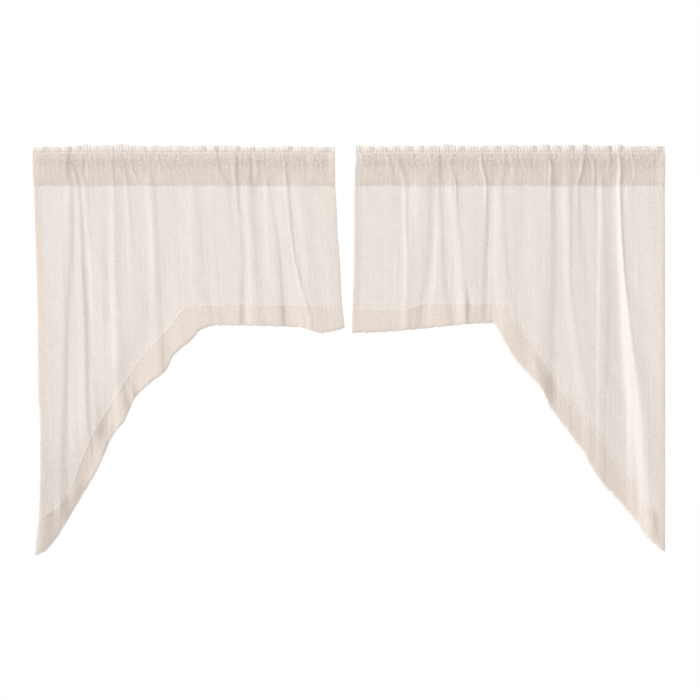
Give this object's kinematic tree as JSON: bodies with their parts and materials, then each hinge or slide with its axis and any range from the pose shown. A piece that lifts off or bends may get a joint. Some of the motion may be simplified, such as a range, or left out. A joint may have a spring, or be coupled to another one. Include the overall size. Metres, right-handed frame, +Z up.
{
  "type": "swag and tail drape pair with rods",
  "caption": "Pair of gathered semi-sheer gauze swag panels with slanted hems and long outer tails, each pocket threaded on a plain round rod.",
  "frame": {"origin": "on the rods' common axis, at the middle of the pair", "axes": "+X along the rods towards the right panel as seen from the room, -Y towards the room, +Z up"},
  "size_m": [1.428, 0.0455, 0.9252],
  "materials": {
    "gauze": "semi-sheer open plain weave, matt, natural cream",
    "rod_paint": "turned wood painted light grey, satin"
  },
  "bodies": {
    "root": {"left_panel": "gauze", "right_panel": "gauze", "left_rod": "rod_paint", "right_rod": "rod_paint"}
  },
  "joints": []
}
